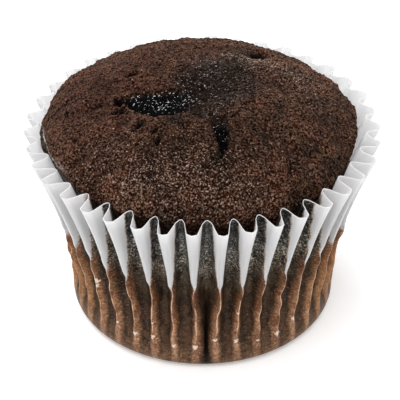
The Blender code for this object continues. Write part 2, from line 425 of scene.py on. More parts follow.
def paper_masks(sheet, height):
    """What the material has to know at each point of the sheet, with the heights of its rings."""
    columns = sheet.shape[1]
    blank = np.zeros(sheet.shape[:2])
    z = blank + height[:, None]
    from_crest = blank + crest_share(np.arange(columns))
    angle = np.arctan2(sheet[:, :, 0], -sheet[:, :, 1])
    side = smooth_step(np.abs(angle), math.radians(36), math.radians(64))
    # Fat has climbed the paper to this height: least at a crest, most at the foot of a valley, and
    # further to the right of the front than elsewhere.
    further = 0.14 * bell(np.degrees(angle) - 36, 18)
    climbed_front = PINCH_HEIGHT + 19 * MM * smooth_step(from_crest + further, 0.22, 0.80)
    climbed_side = PINCH_HEIGHT + 11 * MM * smooth_step(from_crest, 0.28, 1.0)
    climbed = climbed_front + (climbed_side - climbed_front) * side
    dry = np.clip(0.5 + (z - climbed) / (4 * MM), 0.0, 1.0)
    # Along the front each filled fold ends low down in a blunt tip that the fat hasn't reached,
    # and three folds are scuffed higher up: pleat, height and size of each in mm.
    scuffs = [(pleat, 6.2 + 1.1 * crest_lean[pleat], 0.70 + 0.22 * fold_left[pleat])
              for pleat in range(PLEATS) if math.cos(pleat_angle(pleat)) > 0.72]
    scuffs += [(33, 14.6, 1.1), (33, 13.0, 0.8), (2, 13.5, 0.6), (36, 10.4, 0.5)]
    tip = blank.copy()
    for pleat, high, size in scuffs:
        ring = int(np.argmin(np.abs(height - high * MM)))
        apart = (sheet - sheet[ring, pleat * COLUMNS]) * (0.85, 0.85, 1.15)
        tip = np.maximum(tip, bell(np.linalg.norm(apart, axis=2), size * MM))
    # The valley that is pressed nearly shut, painted near black: painted shade.
    shut_shade = blank + bell(np.arange(columns) - (PINCHED_VALLEY + 0.5) * COLUMNS, 0.19 * COLUMNS)
    shut_shade *= between(z, 0.2 * MM, 1.1 * MM, 5 * MM, 19 * MM)
    # the last ring, the cut edge, is painted white as a painted highlight
    rim = blank.copy()
    rim[-1] = 1.0
    # The browned strip lies along each filled fold, a little towards the front of the case.
    crest_angle = pleat_angle(np.round(np.arange(columns) / COLUMNS))
    strip = FLANK_COLUMN * np.clip(-2 * np.sin(crest_angle), -1, 1)
    from_flank = blank + crest_share(np.arange(columns) - strip)
    return {"dry": dry, "from_crest": from_crest, "from_flank": from_flank, "side": side,
            "shut_shade": shut_shade, "tip": tip, "rim": rim}


def set_masks(made, masks):
    """Gives a mesh one number at each point for each mask, which its material reads by name."""
    for name, values in masks.items():
        made.data.attributes.new(name, "FLOAT", "POINT").data.foreach_set(
            "value", values.astype(np.float32))


def make_case():
    wall = case_wall_points()
    columns = wall.shape[1]
    # The flat base comes first: rings from near its middle out to the wall's foot.
    base = [wall[0] * np.array([share, share, 1.0])
            for share in np.linspace(0.04, 1.0, BASE_RINGS + 1)[:-1]]
    sheet = np.concatenate([np.array(base), wall])
    # The inner face lies the paper's thickness in from the outer one, square to it.
    across = np.roll(sheet, -1, axis=1) - np.roll(sheet, 1, axis=1)
    up = np.gradient(sheet, axis=0)
    out = np.cross(across, up)
    out /= np.maximum(np.linalg.norm(out, axis=2, keepdims=True), 1e-12)
    out[:BASE_RINGS] = (0.0, 0.0, -1.0)
    inner = sheet - out * PAPER
    inner[:BASE_RINGS + 1, :, 2] = PAPER
    rings = len(sheet)
    count = rings * columns
    points = np.concatenate([sheet.reshape(-1, 3), inner.reshape(-1, 3)])
    faces = grid_faces(0, rings, columns) + grid_faces(count, rings, columns, flip=True)
    rim = (rings - 1) * columns
    for column in range(columns):
        after = (column + 1) % columns
        faces.append((rim + column, rim + after, count + rim + after, count + rim + column))
    faces.append(tuple(range(columns))[::-1])
    faces.append(tuple(range(count, count + columns)))
    made = mesh_object("pleated_paper_case", points, faces)
    height = np.concatenate([np.zeros(BASE_RINGS), wall[:, :, 2].mean(axis=1)])
    masks = paper_masks(sheet, height)
    set_masks(made, {name: np.tile(values.ravel(), 2) for name, values in masks.items()})
    return made


def greaseproof_paper():
    """Bleached greaseproof paper, calendered: matt white fibre where dry, dark and slightly shiny
    where fat has soaked in and the cake shows through, tan where only browned."""
    made, tree, shader = new_material("greaseproof_paper_fat_soaked")
    place = node(tree, "TexCoord", out="Object")
    up = node(tree, "SeparateXYZ", {"Vector": place}, out="Z")
    dry, crest, flank_side, side, shut_shade, tip, rim = (
        node(tree, "Attribute", attribute_name=name, out="Fac")
        for name in ("dry", "from_crest", "from_flank", "side", "shut_shade", "tip", "rim"))
    height = node(tree, "Math", {0: up, 1: 1 / CASE_HEIGHT}, operation="MULTIPLY")
    # Fat lets the dark cake through unevenly: cloudy over a few millimetres, and mottled finely
    # where there are fibres it hasn't filled.
    clouds = node(tree, "TexNoise", {
        "Vector": place, "Scale": 1 / (2.8 * MM), "Detail": 2.0, "Roughness": 0.6})
    fibres = node(tree, "TexNoise", {
        "Vector": place, "Scale": 1 / (0.42 * MM), "Detail": 1.0, "Roughness": 0.8})
    # Drawing the pleats has crimped the sheet: fine creases that lie across the folds.
    level = node(tree, "Mapping", {"Vector": place, "Scale": (1.0, 1.0, 1.7)})
    crimps = node(tree, "TexNoise", {
        "Vector": level, "Scale": 1 / (0.75 * MM), "Detail": 1.0, "Roughness": 0.7})
    specks = node(tree, "Math", {0: fibres, 1: crimps}, operation="ADD")
    mottle = node(tree, "Math", {0: clouds, 1: 1.6, 2: specks}, operation="MULTIPLY_ADD")
    # Down the middle of each valley the paper is flat and a painted sheen makes it a little paler;
    # by the folds the valley is painted a little darker.
    valley_sheen = node(tree, "MapRange", {
        "Value": crest, "From Min": 0.55, "To Min": -0.10, "To Max": 0.10})
    mottle = node(tree, "Math", {0: mottle, 1: valley_sheen}, operation="ADD")
    mottle = node(tree, "MapRange", {"Value": mottle, "From Min": 1.46, "From Max": 2.14})
    # At the sides, where the fat came later, it has spread more evenly and browned less.
    even = node(tree, "MapRange", {"Value": side, "To Max": 0.55})
    mottle = node(tree, "Mix", {"Factor": even, "A": mottle, "B": 0.46})
    # Valleys by height: tan at the base, near black where the cake is tight against the paper,
    # grey under the rim where it has come away. Folds: browned through, in a strip along each.
    valley_dark = node(tree, "ValToRGB", {"Fac": height}, stops=(
        (0.00, "#4A3121"), (0.12, "#2E1F15"), (0.22, "#1E140C"), (0.45, "#19110B"),
        (0.58, "#1D1711"), (0.80, "#181511"), (1.00, "#121212")))
    valley_light = node(tree, "ValToRGB", {"Fac": height}, stops=(
        (0.00, "#7A5C46"), (0.12, "#58402E"), (0.22, "#4C3525"), (0.45, "#453323"),
        (0.56, "#574A3C"), (0.70, "#8A8277"), (0.80, "#7C7A76"), (0.90, "#5A5956"),
        (1.00, "#464644")))
    valley = node(tree, "Mix", {
        "Factor": mottle, "A": valley_dark, "B": valley_light}, data_type="RGBA")
    flank_dark = node(tree, "ValToRGB", {"Fac": height}, stops=(
        (0.00, "#684A36"), (0.14, "#704D37"), (0.32, "#67432B"), (0.54, "#4C2D1B"),
        (0.64, "#3A3128"), (1.00, "#2A2824")))
    flank_light = node(tree, "ValToRGB", {"Fac": height}, stops=(
        (0.00, "#98775F"), (0.14, "#B88C6C"), (0.32, "#B88766"), (0.54, "#925F40"),
        (0.64, "#7A6E5F"), (1.00, "#5C5953")))
    flank = node(tree, "Mix", {
        "Factor": mottle, "A": flank_dark, "B": flank_light}, data_type="RGBA")
    sway = node(tree, "Math", {0: clouds, 1: 0.7, 2: flank_side}, operation="MULTIPLY_ADD")
    # low down, where the folds are shallow, the strips and the crest lines are wider
    wider = node(tree, "MapRange", {
        "Value": height, "From Min": 0.16, "From Max": 0.48, "To Min": 0.12, "To Max": -0.04})
    sway = node(tree, "Math", {0: sway, 1: wider}, operation="SUBTRACT")
    from_flank = node(tree, "MapRange", {"Value": sway, "From Min": 0.62, "From Max": 0.88})
    paper = node(tree, "Mix", {"Factor": from_flank, "A": flank, "B": valley}, data_type="RGBA")
    # the sides are slightly yellower
    paper = node(tree, "Mix", {"Factor": side, "A": paper, "B": linear("#FFFDED")},
                 data_type="RGBA", blend_type="MULTIPLY")
    # painted shade: the valley pressed nearly shut is painted near black
    paper = node(tree, "Mix", {
        "Factor": shut_shade, "A": paper, "B": linear("#120C08")}, data_type="RGBA")
    # The tooth of the paper: single fibres that the fat has or hasn't filled.
    tooth = node(tree, "TexNoise", {
        "Vector": place, "Scale": 1 / (0.33 * MM), "Detail": 1.0, "Roughness": 0.5})
    tooth = node(tree, "MapRange", {"Value": tooth, "From Min": 0.35, "From Max": 0.65})
    tooth = node(tree, "Math", {0: tooth, 1: 3.0}, operation="POWER")
    tooth = node(tree, "Math", {0: tooth, 1: 0.24}, operation="SUBTRACT")
    # It shows most under the rim, where there is air behind the paper.
    rough_tooth = node(tree, "MapRange", {
        "Value": height, "From Min": 0.50, "From Max": 0.68, "To Min": 0.6, "To Max": 2.7})
    tooth = node(tree, "Math", {0: tooth, 1: rough_tooth, 2: 1.0}, operation="MULTIPLY_ADD")
    paper = node(tree, "VectorMath", {0: paper, "Scale": tooth}, operation="SCALE")
    # A pale line along each crest, a painted highlight, patchy, and fading out towards the base.
    line = node(tree, "Math", {0: crest, 1: wider}, operation="SUBTRACT")
    line = node(tree, "MapRange", {"Value": line, "From Min": 0.15, "From Max": 0.05})
    low = node(tree, "MapRange", {"Value": height, "From Min": 0.12, "From Max": 0.46})
    line = node(tree, "Math", {0: line, 1: low}, operation="MULTIPLY")
    patchy = node(tree, "MapRange", {
        "Value": clouds, "From Min": 0.34, "From Max": 0.62, "To Min": 0.12})
    line = node(tree, "Math", {0: line, 1: patchy}, operation="MULTIPLY")
    # The edge of the fat: a brown fringe, then white, both broken up by the fibres.
    edge = node(tree, "Math", {0: fibres, 1: -0.5}, operation="ADD")
    edge = node(tree, "Math", {0: edge, 1: 0.9, 2: dry}, operation="MULTIPLY_ADD")
    fringe = node(tree, "MapRange", {"Value": edge, "From Min": 0.14, "From Max": 0.36})
    white = node(tree, "MapRange", {"Value": edge, "From Min": 0.34, "From Max": 0.66})
    # the cut edge is painted white all round: a painted highlight
    white = node(tree, "Math", {0: white, 1: rim}, operation="MAXIMUM")
    scuff = node(tree, "Math", {0: fibres, 1: 0.9, 2: tip}, operation="MULTIPLY_ADD")
    scuff = node(tree, "MapRange", {
        "Value": scuff, "From Min": 0.98, "From Max": 1.22, "To Max": 0.8})
    for mask, over in ((line, "#EACFB8"), (fringe, "#94806F"), (scuff, "#E6D4C2"),
                       (white, "#C0BFC0")):
        paper = node(tree, "Mix", {
            "Factor": mask, "A": paper, "B": linear(over)}, data_type="RGBA")
    rough = node(tree, "MapRange", {"Value": white, "To Min": 0.42, "To Max": 0.75})
    fibre = node(tree, "TexNoise", {
        "Vector": place, "Scale": 1 / (0.25 * MM), "Detail": 4.0, "Roughness": 0.65})
    bump = node(tree, "Bump", {"Height": fibre, "Strength": 0.25, "Distance": 0.06 * MM})
    # A single dry sheet this thin lets some of the light through; soaked and backed by the cake it
    # lets none back.
    fill(tree, shader, {
        "Base Color": paper, "Roughness": rough, "Normal": bump, "IOR": 1.47,
        "Specular IOR Level": 0.09, "Subsurface Weight": white,
        "Subsurface Radius": (1.0, 1.0, 1.0), "Subsurface Scale": 0.85 * MM})
    return made


case = make_case()
case.data.materials.append(greaseproof_paper())
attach(case, "root")
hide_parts("paper_case")


# ------------------------------------------------------------------------------------------------
# Cake. One piece of dark chocolate sponge. Its side has filled the folds of the case low down and
# shrunk from them above; its crust has domed, sunk in the middle and torn in one place.
CRUST_RADIUS = 29.4 * MM
CRUST_HEIGHT = 38.5 * MM
CRUST_TILT = 0.3 * MM               # the crust edge stands this much higher on the left
DOME_RISE = 9.9 * MM
DOME_POWER = 2.2
DOME_SHIFT = -0.5 * MM              # the dome stands a little to the left
FRONT_LET_DOWN = 2.6 * MM           # how far the crust rounds down behind the paper at the front
FRONT_DRAWN_IN = 1.0 * MM
LEFT_LET_DOWN = 0.35 * MM           # at the left it ends in an edge, over the greasy side
LEFT_DRAWN_IN = 0.30 * MM
DOME_RINGS = 152                    # ring k has 6k points, so they are 0.2 mm apart everywhere
EDGE_START = 0.88                   # share of the radius where the crust starts to round down
SIDE_COLUMNS = 12                   # mesh columns of the cake's side in one pleat
SIDE_TOP = 36.6 * MM
SIDE_LEVEL = 25.0 * MM              # the side follows the crust down at the front above this
RIDGE_REACH = 0.17                  # half the width of a ridge, as a share of the pleat
RIDGE_GAP = 0.75 * MM               # how far a ridge's top stays in from the paper's crest
CAKE_GAP = 0.12 * MM                # cake to paper
LIP_GAP = 0.2 * MM                  # and this much more at the lip, for its crumb
RIDGES_SINK = 14.0 * MM             # height where the cake starts to leave the folds
RIDGES_END = 25.0 * MM              # height where it stands free of them
HOLLOW = 1.5 * MM                   # how far the middle has sunk
TEAR_LEFT = -16.1 * MM
TEAR_LENGTH = 16.3 * MM
TEAR_DEPTH = 2.4 * MM
SLIT_BACK = -9.3 * MM
SLIT_LENGTH = 11.0 * MM
SLIT_DEPTH = 2.0 * MM
LIP = (
    # mm below the crust edge, mm in from it, mm out from it at the left, slant of its face
    (0.20, 0.00, 0.03, 0.5), (0.50, 0.06, 0.06, 0.2), (0.80, 0.20, 0.08, -0.1),
    (1.15, 0.42, 0.05, -0.3), (1.60, 0.66, 0.00, 0.0),
)


def grains(points, size, seed):
    """Perlin noise at an array of points, from about -1 to 1."""
    scaled = points / size + seed
    return np.array([noise.noise(point) for point in scaled]) * 1.6


def on_plan(x, y):
    """Points of the plan, at no height."""
    return np.stack([x, y, 0 * x], axis=1)


def spot(x, y, centre_x, centre_y, reach):
    """1 at a centre given in mm, falling off round it."""
    return bell(np.hypot(x - centre_x * MM, y - centre_y * MM), reach * MM)


def turned(x, y, centre, turn):
    """Distances from a centre in mm along and across a line turned from the x axis, in metres."""
    away_x, away_y = x - centre[0] * MM, y - centre[1] * MM
    cos, sin = math.cos(math.radians(turn)), math.sin(math.radians(turn))
    return away_x * cos + away_y * sin, away_y * cos - away_x * sin


def streak(x, y, centre, turn, length, width):
    """1 at a centre in mm, falling off along and across a turned line by lengths in mm."""
    along, across = turned(x, y, centre, turn)
    return bell(along, length * MM) * bell(across, width * MM)


def tear_shape(x, y):
    """The torn crater: 0 at its front edge to 1 at its back edge, and the share along it."""
    share = (x - TEAR_LEFT) / TEAR_LENGTH
    inside = np.clip(share, 0.0, 1.0)
    front = -4.6 - 5.0 * np.sin(math.pi / 2 * np.clip((inside - 0.15) / 0.43, 0, 1)) ** 0.8
    front = front + 0.3 * np.clip((inside - 0.58) / 0.42, 0, 1) ** 2
    back = -2.6 + 0.8 * smooth_step(inside, 0.12, 0.30) + 0.6 * smooth_step(inside, 0.4, 1.0)
    rough = 0.35 * grains(on_plan(x, y), 1.1 * MM, 51.0)
    across = (y / MM - front - rough) / np.maximum(back - front, 0.4)
    return across, share


def slit_shape(x, y):
    """The slit below the tear: how far outside its edges in mm, and the share down it."""
    flat = on_plan(x, y)
    share = (SLIT_BACK - y) / SLIT_LENGTH + 0.07 * grains(flat, 1.3 * MM, 67.0)
    inside = np.clip(share, 0.0, 1.0)
    left = 1.4 + 2.4 * inside
    right = 4.5 + 0.8 * np.sin(math.pi * inside) - 0.6 * inside
    rough = 0.42 * grains(flat, 0.9 * MM, 61.0)
    return np.maximum(left - x / MM, x / MM - right) + rough, share


CRUMB = (
    # size and height in mm, and seed, of the swells, lumps, granules and fine granules
    (6.0, 0.28, 5.0), (2.6, 0.24, 3.0), (1.1, 0.14, 11.0), (0.52, 0.13, 23.0),
)

DAMP = (
    # x, y and reach in mm, and strength, of damp crumb, from round the tear to the largest pit
    (0.6, -3.4, 5.4, 0.90), (1.2, 3.0, 5.0, 0.90), (3.6, -6.2, 3.6, 0.70), (4.8, 3.4, 4.6, 0.65),
    (7.6, 7.0, 4.2, 0.60), (10.0, 10.2, 3.2, 0.55), (8.8, -1.4, 4.4, 0.60), (13.2, 1.2, 4.2, 0.30),
    (-3.8, 1.2, 3.4, 0.80), (0.8, -9.4, 2.8, 0.80), (-4.4, -11.4, 2.6, 0.65),
    (1.2, 9.2, 4.4, 0.42),
)

PAINTED_LIGHT_AND_TONE = (
    # x, y and reach in mm, and strength in doublings of brightness, of painted light on the crust
    # and, below nought, painted shade, laid over the crumb's own paler and darker patches
    (-15.5, -24.0, 4.2, 1.00), (-8.0, -26.2, 4.5, 0.70), (9.5, -25.0, 5.0, 1.00),
    (2.0, -27.5, 4.0, 0.20), (16.5, 12.5, 5.5, 0.95), (21.0, 7.5, 5.0, 0.75),
    (8.5, 7.0, 3.4, 0.70), (5.8, -17.6, 5.5, -0.90), (-18.0, 0.8, 5.5, -0.95),
    (1.3, -0.6, 4.2, -1.10), (6.6, -12.0, 1.8, -0.50), (-4.8, -20.6, 4.0, -0.75),
    (11.6, 0.0, 3.4, 0.60), (-4.5, -10.6, 3.2, -0.45), (-9.8, -0.8, 3.0, -0.30),
    (-4.0, 21.0, 8.0, 0.32), (-15.8, -4.6, 3.6, 0.40),
)

PITS = (
    # x and y in mm, turn in degrees, length, width and depth in mm
    (11.1, 14.4, 80, 3.2, 1.7, 3.8), (-12.6, 3.9, 22, 1.3, 0.85, 1.3),
    (-14.6, -6.1, 25, 1.3, 0.90, 1.3), (-11.2, -11.1, 55, 1.7, 0.70, 1.3),
    (-8.1, -13.0, 60, 1.2, 0.50, 1.0), (-7.6, -15.4, 80, 1.3, 0.38, 1.0),
    (-18.7, -3.2, 10, 1.1, 0.50, 0.7), (0.0, 12.8, 20, 0.9, 0.45, 0.7),
    (16.2, -17.8, -75, 1.3, 0.22, 0.6), (15.0, -5.2, 20, 0.8, 0.25, 0.5),
    (17.5, 1.5, -20, 0.9, 0.25, 0.5), (8.0, -6.4, 30, 0.7, 0.3, 0.4),
    (-24.4, -2.6, 30, 0.9, 0.4, 0.5), (22.3, -8.5, -50, 1.0, 0.22, 0.5),
    (4.6, -24.0, 10, 0.7, 0.3, 0.4), (-9.3, -17.6, 60, 0.8, 0.25, 0.5),
)


def crust_features(x, y):
    """How far its marks lower the crust, how moist it is and where its pits are painted near black
    as painted shade, where it sparkles, and the tear's shape.
    """
    # the middle has sunk
    lowered = HOLLOW * streak(x, y, (-4.0, -4.0), 10, 10.5, 5.5)
    # the far shoulders of the crust have settled
    shoulders = bell(x + 17 * MM, 7 * MM) + bell(x - 15 * MM, 8 * MM)
    lowered = lowered + 0.28 * MM * shoulders * smooth_step(y, 8 * MM, 18 * MM)
    tear, share = tear_shape(x, y)
    open_tear = between(share, 0.0, 0.08, 0.60, 1.20) * between(tear, -0.04, 0.08, 0.92, 1.06)
    floor_rise = 1 - 0.75 * smooth_step(tear, 0.18, 0.95)
    lowered = lowered + TEAR_DEPTH * open_tear * floor_rise
    wet_and_pit_shade = between(tear, -0.03, 0.04, 0.88, 1.04) * between(share, 0.0, 0.04, 0.72, 1.35)
    # the tear's far slope, and the top of the slit, get painted glints
    sparkle = between(tear, 0.36, 0.62, 0.88, 1.14) * between(share, 0.10, 0.26, 0.60, 1.20)
    outside, down = slit_shape(x, y)
    open_slit = smooth_step(outside, 0.15, -0.55) * between(down, -0.15, 0.10, 0.92, 1.02)
    lowered = lowered + SLIT_DEPTH * open_slit * (0.25 + 0.75 * smooth_step(down, 0.1, 0.5))
    slit_wet = smooth_step(outside, 0.30, -0.25) * between(down, -0.22, 0.32, 0.97, 1.03)
    wet_and_pit_shade = np.maximum(wet_and_pit_shade, slit_wet * (0.75 + 0.25 * smooth_step(down, 0.1, 0.3)))
    sparkle = np.maximum(sparkle, 0.85 * slit_wet * bell(down - 0.30, 0.24))
    # the pits have ragged outlines and slightly raised lips, and are painted near black inside:
    # painted shade
    flat = on_plan(x, y)
    ragged_x = x + 0.30 * MM * grains(flat, 1.0 * MM, 91.0)
    ragged_y = y + 0.30 * MM * grains(flat, 1.0 * MM, 95.0)
    for px, py, turn, length, width, deep in PITS:
        pit_along, pit_across = turned(ragged_x, ragged_y, (px, py), turn)
        reach = (pit_along / (length * MM)) ** 2 + (pit_across / (width * MM)) ** 2
        pit = np.exp(-reach**1.5)
        raised = 0.12 * min(deep, 1.3) * (np.exp(-reach / 2.5) - np.exp(-reach))
        lowered = lowered + (deep * pit - raised) * MM
        # the pits are painted near black here, as painted shade
        wet_and_pit_shade = np.maximum(wet_and_pit_shade, 0.92 * smooth_step(pit, 0.27 / length**0.7, 0.80 / length**0.5))
    return lowered, wet_and_pit_shade, sparkle, tear, share


def crust_edge(x, y):
    """How far the crust is drawn in and let down near its edge, and the front and left shares."""
    share = np.clip(np.hypot(x, y) / CRUST_RADIUS, 0, 1)
    degrees = np.degrees(np.arctan2(x, -y))
    front = between(degrees, -64, -44, 62, 92)
    left = left_share(degrees)
    drawn_in = (FRONT_DRAWN_IN * front + LEFT_DRAWN_IN * left) * smooth_step(share, 0.78, 1.0)
    near_edge = np.clip((share - EDGE_START) / (1 - EDGE_START), 0, 1)
    let_down = (FRONT_LET_DOWN * front + LEFT_LET_DOWN * left) * near_edge**2
    return drawn_in, let_down, front, left


def dome_height(x, y):
    share = np.clip(np.hypot(x, y) / CRUST_RADIUS, 0, 1)
    domed = CRUST_HEIGHT + DOME_RISE * (1 - share**DOME_POWER) - CRUST_TILT * x / CRUST_RADIUS
    return domed - crust_edge(x, y)[1]


def dome_points():
    """The points of the dome, ring by ring from the middle, as x, y arrays."""
    x, y = [0.0], [0.0]
    for ring in range(1, DOME_RINGS + 1):
        angle = 2 * math.pi * np.arange(6 * ring) / (6 * ring)
        radius = CRUST_RADIUS * ring / DOME_RINGS
        x.extend(radius * np.sin(angle))
        y.extend(-radius * np.cos(angle))
    return np.array(x), np.array(y)


def dome_faces():
    faces = []
    for ring in range(1, DOME_RINGS + 1):
        outer = 1 + 3 * ring * (ring - 1)
        inner = 1 + 3 * (ring - 1) * (ring - 2) if ring > 1 else 0
        inner_count = max(6 * (ring - 1), 1)
        for sector in range(6):
            for step in range(ring):
                a = outer + (sector * ring + step) % (6 * ring)
                b = outer + (sector * ring + step + 1) % (6 * ring)
                c = inner + (sector * (ring - 1) + step) % inner_count
                faces.append((a, b, c))
                if step < ring - 1:
                    d = inner + (sector * (ring - 1) + step + 1) % inner_count
                    faces.append((b, d, c))
    return faces


def crumb_relief(points):
    """Height of the baked crumb over the smooth crust: granules, fine creases and folds."""
    relief = sum(grains(points, size * MM, seed) * high * MM for size, high, seed in CRUMB)
    creases = np.abs(grains(points * (1.0, 1.6, 1.0), 1.9 * MM, 31.0))
    creases = -0.30 * MM * np.clip(1 - creases / 0.12, 0, 1)
    # at the far right the crust has shrunk into fine folds that follow its edge
    radius = np.hypot(points[:, 0], points[:, 1])
    around = np.arctan2(points[:, 0], -points[:, 1]) * radius
    folds = grains(on_plan(around / 3.5, radius), 1.1 * MM, 41.0)
    folds = folds * smooth_step(points[:, 0], 2 * MM, 12 * MM)
    folds = folds * smooth_step(radius, 10 * MM, 18 * MM)
    folds = 0.16 * MM * folds * smooth_step(points[:, 1], -8 * MM, 2 * MM)
    return relief + creases + folds


def crust_points(x, y, lowered):
    """The points of the crust before its crumb, and the way it faces at each."""
    share = np.hypot(x, y) / CRUST_RADIUS
    drawn_in, _, front, _ = crust_edge(x, y)
    kept = 1 - drawn_in / np.maximum(np.hypot(x, y), MM)
    points = np.stack([x * kept + DOME_SHIFT, y * kept, dome_height(x, y) - lowered], axis=1)
    steep = DOME_RISE * DOME_POWER * share ** (DOME_POWER - 1) / CRUST_RADIUS
    near_edge = np.clip(share - EDGE_START, 0, 1) / (1 - EDGE_START)**2
    steep += front * FRONT_LET_DOWN * 2 * near_edge / CRUST_RADIUS
    away = np.stack([x, y], axis=1) / np.maximum(np.hypot(x, y), 1e-9)[:, None]
    facing = np.concatenate([away * steep[:, None], np.ones((len(x), 1))], axis=1)
    return points, facing / np.linalg.norm(facing, axis=1, keepdims=True)


def lip_rings():
    """The crust's last ring carried over the edge: points, facings, quiet, angles and left share.

    At the left a greasy side shows under the crust's edge; elsewhere it turns in behind the paper.
    Quiet is how much of the crumb's relief is left.
    """
    columns = 6 * DOME_RINGS
    angle = 2 * math.pi * np.arange(columns) / columns
    degrees = np.degrees(angle)
    turn = outward(angle)
    tilt = -CRUST_TILT * turn[:, 0]
    drawn_in, let_down, front, left = crust_edge(*(CRUST_RADIUS * turn.T))
    bulge = BULGE * bulge_share(degrees)
    # a column's nearest valley is up to half a pleat to one side of it or the other
    half_pleat = 5
    room = np.minimum(valley_room(degrees - half_pleat), valley_room(degrees + half_pleat))
    rings, facings, quiet = [], [], []
    for step, (drop, inward, outward_left, slant) in enumerate(LIP):
        radius = CRUST_RADIUS - drawn_in - inward * (1 - left) * MM + outward_left * left * MM
        plan = turn * radius[:, None] + (DOME_SHIFT, 0.0)
        plan += turn * (bulge * drop / LIP[-1][0])[:, None]
        z = CRUST_HEIGHT + tilt - let_down - drop * MM
        # from just above the rim on down it keeps inside the paper's valleys
        level = np.minimum(z, CASE_HEIGHT)
        widest = crest_radius(level) - pleat_depth(level) + room - PAPER - CAKE_GAP - LIP_GAP
        widest = np.where(z < CASE_HEIGHT + 0.7 * MM, widest, 1.0)
        plan *= np.minimum(1.0, widest / np.hypot(*plan.T))[:, None]
        rings.append(np.column_stack([plan, z]))
        facing = np.concatenate([turn, np.full((columns, 1), slant)], axis=1)
        facings.append(facing / np.linalg.norm(facing, axis=1, keepdims=True))
        quiet.append((0.9 - 0.75 * (step + 1) / len(LIP)) * (1 - front) + 0.8 * front)
    return np.array(rings), np.array(facings), np.array(quiet), degrees, left


def side_rings():
    """The side of the cake down the inside of the case to its flat underside, and left share."""
    number = np.arange(SIDE_COLUMNS * PLEATS) / SIDE_COLUMNS
    angle = pleat_angle(number)
    turn = outward(angle)
    from_crest = np.abs((number + 0.5) % 1 - 0.5)
    # closest at the top, where the side shows at the left, and round the base edge
    heights = [*np.linspace(SIDE_TOP, SIDE_LEVEL, 16), *np.linspace(24.2 * MM, 2.2 * MM, 20),
               1.6 * MM, 1.1 * MM, 0.7 * MM, 0.45 * MM]
    _, _, front, left = crust_edge(*(CRUST_RADIUS * turn.T))
    room = valley_room(np.degrees(pleat_angle(np.floor(number) + 0.5)))
    rings = []
    for level in heights:
        z = level - FRONT_LET_DOWN * front * max(level - SIDE_LEVEL, 0) / (SIDE_TOP - SIDE_LEVEL)
        inside = np.maximum(z - 0.25 * MM, 0.2 * MM)
        free = crest_radius(inside) - pleat_depth(inside) - PAPER - CAKE_GAP
        free = free + room * (z / CASE_HEIGHT) ** 2
        ridge = crest_radius(inside) - RIDGE_GAP
        filled = np.maximum(ridge - free, 0) * (1 - smooth_step(z, RIDGES_SINK, RIDGES_END))
        radius = free + filled * np.clip(1 - from_crest / RIDGE_REACH, 0, 1)
        groove = smooth_step(np.abs(number - PINCHED_VALLEY - 0.5), 0.26, 0.16)
        radius -= groove * (valley_pinch(z) + 0.15 * MM)
        ring = np.zeros((len(number), 3))
        ring[:, :2] = turn * radius[:, None]
        ring[:, 2] = z
        dent = 0.14 * MM * (1 + grains(ring, 0.8 * MM, 71.0)) * smooth_step(z, 28 * MM, 33 * MM)
        ring[:, :2] -= turn * dent[:, None]
        rings.append(ring)
    return np.array(rings), left


def crust_masks(x, y, points, wet_and_pit_shade, sparkle, tear, tear_share):
    """What the material has to know at each point of the crust."""
    # Crumb that keeps its rusty brown: the ledge behind the tear, a band along its front and a
    # patch at the left, which is also painted lighter there as painted light on that side of the
    # dome.
    ledge = bell(tear - 1.15, 0.16) * between(tear_share, -0.05, 0.1, 0.45, 0.75)
    below = 0.4 * bell(tear + 0.15, 0.12) * between(tear_share, 0.0, 0.15, 0.5, 0.75)
    rust_and_light = np.maximum(np.maximum(ledge, below), 0.8 * streak(x, y, (-17.0, 2.0), 65, 17, 12))
    clear = np.ones(len(x))
    for *place, strength in DAMP:
        clear *= 1 - strength * spot(x, y, *place)
    ragged = 0.16 * grains(points, 1.6 * MM, 81.0)
    dark = 0.92 * smooth_step(1 - clear + ragged, 0.25, 0.95)
    # painted light and shade over the crust, as one factor of brightness
    light_and_tone = np.zeros(len(x))
    for *place, strength in PAINTED_LIGHT_AND_TONE:
        light_and_tone += strength * spot(x, y, *place)
    # Painted glints crowd along the front and lie thick on the near lip of the largest pit,
    # thinner on to the right. Damp crumb has a few, and the tear many, most at its right.
    crowded = streak(x, y, (-3.0, -23.0), -12, 22, 7.5) * (1 - 0.8 * dark)
    lip_glints = 1.7 * streak(x, y, (11.0, 9.8), -4, 6.5, 2.3)
    lip_glints = np.maximum(lip_glints, 0.9 * streak(x, y, (17.0, 7.0), -55, 10.0, 5.5))
    crowded = np.maximum(crowded, lip_glints)
    glint = np.maximum(crowded, 0.42 * dark) * (1 - wet_and_pit_shade) + 0.55 * sparkle
    glint = glint + 0.30 * spot(x, y, -3.0, -3.6, 1.8)
    # Towards the front the edge line of the crust ends in a grey smear.
    degrees = np.degrees(np.arctan2(x, -y))
    share = np.hypot(x, y) / CRUST_RADIUS
    line = 0.25 * bell(degrees + 61, 4) * smooth_step(share, 0.968, 0.992)
    return {"wet_and_pit_shade": wet_and_pit_shade, "sparkle": sparkle, "rust_and_light": rust_and_light, "grey": dark * (1 - wet_and_pit_shade),
            "light_and_tone": 2**light_and_tone, "glint": glint, "line": line}


